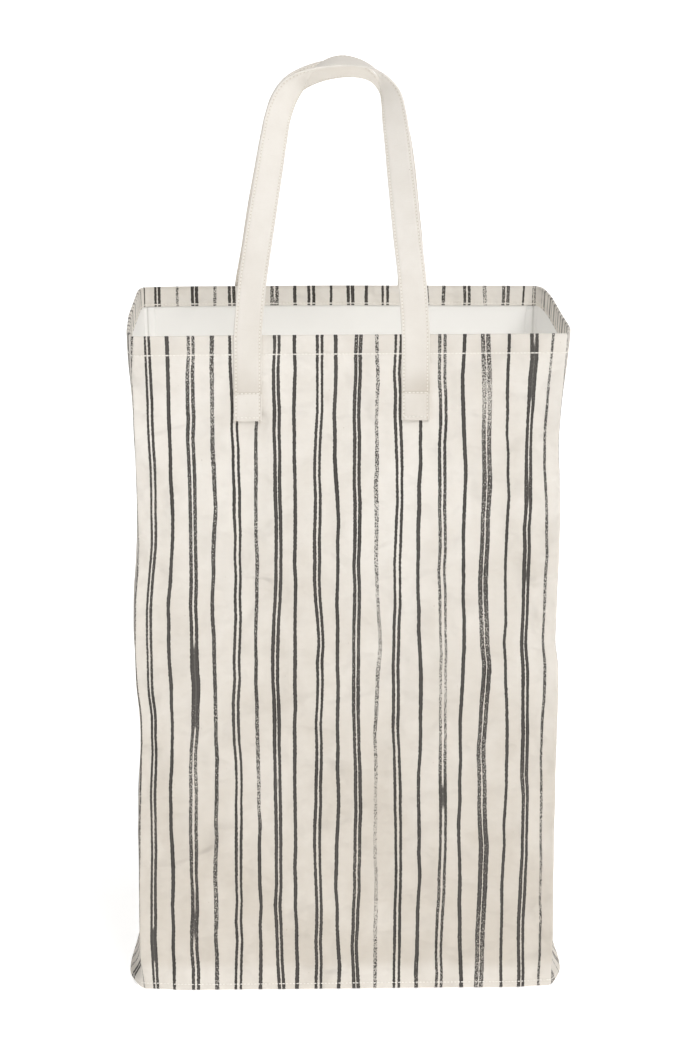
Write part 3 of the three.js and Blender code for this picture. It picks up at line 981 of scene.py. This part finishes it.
class Strap:
    """A strap's way: sewn up the outside of one wall, over as a loop, and down again."""

    def __init__(self, handle, side, lean, loop):
        self.handle, self.side, self.lean = handle, side, math.radians(lean)
        legs = []
        for end in ("left", "right"):
            low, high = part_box(f"{handle}_handle_{end}_end")
            x = (low[0] + high[0]) / 2
            u = x + HALF_WIDTH if side < 0 else RIGHT_END + HALF_WIDTH - x
            legs.append(wall_point(u, np.linspace(low[2], RIM - 2 * MM, 16), -0.12 * MM))
        self.lay_out(legs[0], legs[1][::-1], loop)

    def lay_out(self, left_leg, right_leg, loop):
        rise = max(up for _, up, _ in loop) * MM
        plane_y = self.side * (HALF_DEPTH + 1.2 * MM)
        above = []
        for x, up, _ in loop:
            up = up * MM
            leg = left_leg[-1] if x < LOOP_MIDDLE[0] / MM else right_leg[0]
            joined = float(1 - smoothstep(0, 70 * MM, up)) * (leg[1] - plane_y)
            y = plane_y + joined - self.side * up * math.sin(self.lean) * (up / rise) ** 0.12
            above.append((x * MM, y, RIM + up * math.cos(self.lean)))
        dense, length = smooth_path(np.vstack([left_leg, above, right_leg]))
        self.length = length[-1]
        turns = np.concatenate([np.zeros(len(left_leg)), [t for _, _, t in loop], np.zeros(len(right_leg))])
        ends = np.arange(0, 30 * MM, 0.75 * MM)
        self.s = np.concatenate([ends, np.linspace(30 * MM, self.length - 30 * MM, 330), self.length - ends[::-1]])
        self.centre = rows_at(self.s, length, dense)
        self.tangent = unit(np.gradient(self.centre, self.s, axis=0))
        reach = np.linspace(-9 * MM, 9 * MM, 9)
        turned = np.radians(sum(np.interp(self.s + r, length[::DENSE], turns) for r in reach) / len(reach))
        height = self.centre[:, 2] - RIM
        lean = self.lean * smoothstep(-2 * MM, 55 * MM, height)
        # The face's normal in the plane that the handle leans in, before its turn.
        flat = np.column_stack([0 * lean, self.side * np.cos(lean), np.sin(lean)])
        flat = unit(flat - self.tangent * np.sum(flat * self.tangent, axis=1, keepdims=True))
        outward = np.cross(self.tangent, flat)
        # Towards the outside of the loop. It is the same side all the way round.
        top = len(self.s) // 2
        outward = outward * np.sign(outward[top] @ (self.centre[top] - LOOP_MIDDLE))
        self.out = np.cos(turned)[:, None] * flat + np.sin(turned)[:, None] * outward
        free = smoothstep(40 * MM, 110 * MM, height) * (1 - smoothstep(205 * MM, 232 * MM, height))
        ripple = np.sin(self.s / (9.0 * MM) + 1.3) * (0.4 + 0.6 * np.sin(self.s / (31 * MM)))
        right = 0.25 + 0.75 * (self.centre[:, 0] > 0)
        self.centre = self.centre + self.out * (0.45 * MM * free * right * ripple)[:, None]
        self.across = np.cross(self.tangent, self.out)

    def thickness(self, s):
        """Thicker where the end is turned under, with grooves under the level lines of stitches."""
        s = np.minimum(s, self.length - s)
        turned_under = 0.9 * MM * (1 - smoothstep(STRAP_END_LENGTH - 0.5 * MM, STRAP_END_LENGTH + 1.5 * MM, s))
        grooves = bump_at(s, STRAP_END_LENGTH, 0.9 * MM) + bump_at(s, STRAP_END_MARGIN, 0.9 * MM)
        return STRAP_THICK + turned_under - 0.35 * MM * grooves

    def seat(self, s, across, rise):
        """Place, direction, sideways and outward directions at distance s along the strap."""
        centre, tangent, out, side = (rows_at([s], self.s, v)[0] for v in
                                      (self.centre, self.tangent, self.out, self.across))
        return centre + across * side + rise * out, tangent, side, out

    def mesh(self):
        thick = self.thickness(self.s)
        sections = np.array([strap_section(t) for t in thick])
        rows = (self.centre[:, None] + sections[..., :1] * self.across[:, None]
                + sections[..., 1:] * self.out[:, None])
        # Round the two cut ends with one shorter, thinner row each.
        ends = []
        for end, sign in ((0, -1), (-1, 1)):
            middle = rows[end].mean(axis=0)
            tucked = (sections[end] - sections[end].mean(axis=0)) * (0.975, 0.55)
            ends.append(middle + tucked[:, :1] * self.across[end] + tucked[:, 1:] * self.out[end]
                        + sign * self.tangent[end] * 0.6 * MM)
        rows = np.concatenate([ends[:1], rows, ends[1:]])
        columns = rows.shape[1]
        faces = tube_faces(len(rows), columns)
        piece = new_object(f"{self.handle}_strap", rows, facing_out(rows, faces), STRAP_CLOTH)
        section = strap_section(STRAP_THICK)
        steps = np.linalg.norm(np.diff(section, axis=0), axis=1)
        along = np.repeat(np.concatenate([self.s[:1], self.s, self.s[-1:]]), columns)
        set_uv(piece, np.tile(np.concatenate([[0], np.cumsum(steps)]), len(rows)), along)
        set_uv(piece, np.tile(section[:, 0], len(rows)), along, name="seam")
        return piece

    def edge_stitches(self):
        """Seats along both edges, on the outer face everywhere and on the inner face of the loop."""
        seats = []
        for k in range(1, int(self.length / STITCH_PITCH)):
            s = (k + 0.5) * STITCH_PITCH
            for across in (STRAP_WIDTH / 2 - STRAP_EDGE_STITCH, -STRAP_WIDTH / 2 + STRAP_EDGE_STITCH):
                outer = self.thickness(s) - STRAP_GROOVE + THREAD_SIT
                place, tangent, _, out = self.seat(s, across, outer)
                seats.append((place, tangent, out))
                if place[2] > RIM + 4 * MM:
                    seats.append((self.seat(s, across, STRAP_GROOVE - THREAD_SIT)[0], tangent, -out))
        return stitches(f"{self.handle}_strap_stitches", seats)

    def box_seats(self):
        """Seats of the two level lines that close each stitched square."""
        half = STRAP_WIDTH / 2 - STRAP_EDGE_STITCH
        count = int(2 * half / STITCH_PITCH)
        seats = []
        for line_at in (STRAP_END_MARGIN, STRAP_END_LENGTH):
            for s in (line_at, self.length - line_at):
                for k in range(count):
                    across = -half + (k + 0.5) * 2 * half / count
                    place, _, side, out = self.seat(s, across, self.thickness(s) + THREAD_SIT)
                    seats.append((place, side, out))
        return seats


def build_strap(handle, side, lean, loop):
    strap = Strap(handle, side, lean, loop)
    band = strap.mesh()
    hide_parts(f"{handle}_handle_strap", f"{handle}_handle_left_end", f"{handle}_handle_right_end")
    thread = strap.edge_stitches()
    for piece in (band, thread):
        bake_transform(piece)
    on_bag(stitches(f"{handle}_box_stitches", strap.box_seats()), "thread",
           f"{handle}_left_box_stitch", f"{handle}_right_box_stitch")


build_strap("front", -1, 29, FRONT_LOOP)
build_strap("rear", 1, 31, REAR_LOOP)


# ---- stage, light and camera
def pale_floor():
    g = Graph("floor_paint")
    shade = g.noise(g.place(), 3.0, 2.0)
    colour = g.mix(g.ramp(shade, 0.3, 0.7), (0.82, 0.82, 0.815, 1), (0.80, 0.80, 0.795, 1))
    g.finish(colour, 0.9, specular=0.1)
    g.shader.inputs["Emission Color"].default_value = (1, 1, 1, 1)
    g.shader.inputs["Emission Strength"].default_value = 0.62
    size = 30.0
    corners = [(-size, -size, 0), (size, -size, 0), (size, size, 0), (-size, size, 0)]
    floor = new_object("floor", corners, [(0, 1, 2, 3)], g.material, smooth=False)
    floor.location.z = -0.2 * MM


def lamp(name, kind, power, colour, turn):
    light = bpy.data.lights.new(name, kind)
    light.energy, light.color = power, colour
    thing = put(name, light)
    thing.rotation_euler = turn.to_euler()
    return thing


def inner_light(size, height):
    """Light that the pale inside of the bag would send back up. It faces upwards."""
    thing = lamp("inside", "AREA", 0.41, (1.0, 0.97, 0.92), Vector((0, 0, 1)).to_track_quat("-Z", "Y"))
    thing.data.shape = "RECTANGLE"
    thing.data.size, thing.data.size_y = size
    thing.location.z = height
    thing.visible_camera = False


def soft_sun(name, azimuth, elevation, strength, spread, colour=(1, 1, 1)):
    """A distant softbox. Azimuth is from the front, positive to the right."""
    a, e = math.radians(azimuth), math.radians(elevation)
    towards = Vector((math.sin(a) * math.cos(e), -math.cos(a) * math.cos(e), math.sin(e)))
    lamp(name, "SUN", strength, colour, towards.to_track_quat("Z", "Y")).data.angle = math.radians(spread)


def soft_world():
    world = bpy.data.worlds.new("studio")
    world.use_nodes = True
    background = world.node_tree.nodes["Background"]
    background.inputs["Color"].default_value = (1, 1, 1, 1)
    background.inputs["Strength"].default_value = 0.38
    bpy.context.scene.world = world
    bpy.context.scene.view_settings.view_transform = "Standard"


def front_camera(azimuth, pitch, distance, lens, target):
    """Long lens from a little left of the middle, looking slightly down at the front."""
    azimuth, pitch = math.radians(azimuth), math.radians(pitch)
    back = Vector((math.sin(azimuth) * math.cos(pitch), -math.cos(azimuth) * math.cos(pitch), math.sin(pitch)))
    camera_data = bpy.data.cameras.new("camera")
    camera_data.lens = lens
    camera_data.clip_end = 100
    camera = put("camera", camera_data)
    camera.location = target + back * distance
    camera.rotation_euler = (-back).to_track_quat("-Z", "Y").to_euler()
    bpy.context.scene.camera = camera


pale_floor()
soft_world()
soft_sun("key", 30, 46, 1.6, 28, (1.0, 0.99, 0.975))
soft_sun("overhead", 0, 84, 0.42, 70)
inner_light(size=(0.30, 0.20), height=0.30)
front_camera(azimuth=-1.19, pitch=13.29, distance=2.737, lens=106.25, target=Vector((0.0005, FRONT_Y, 0.4359)))
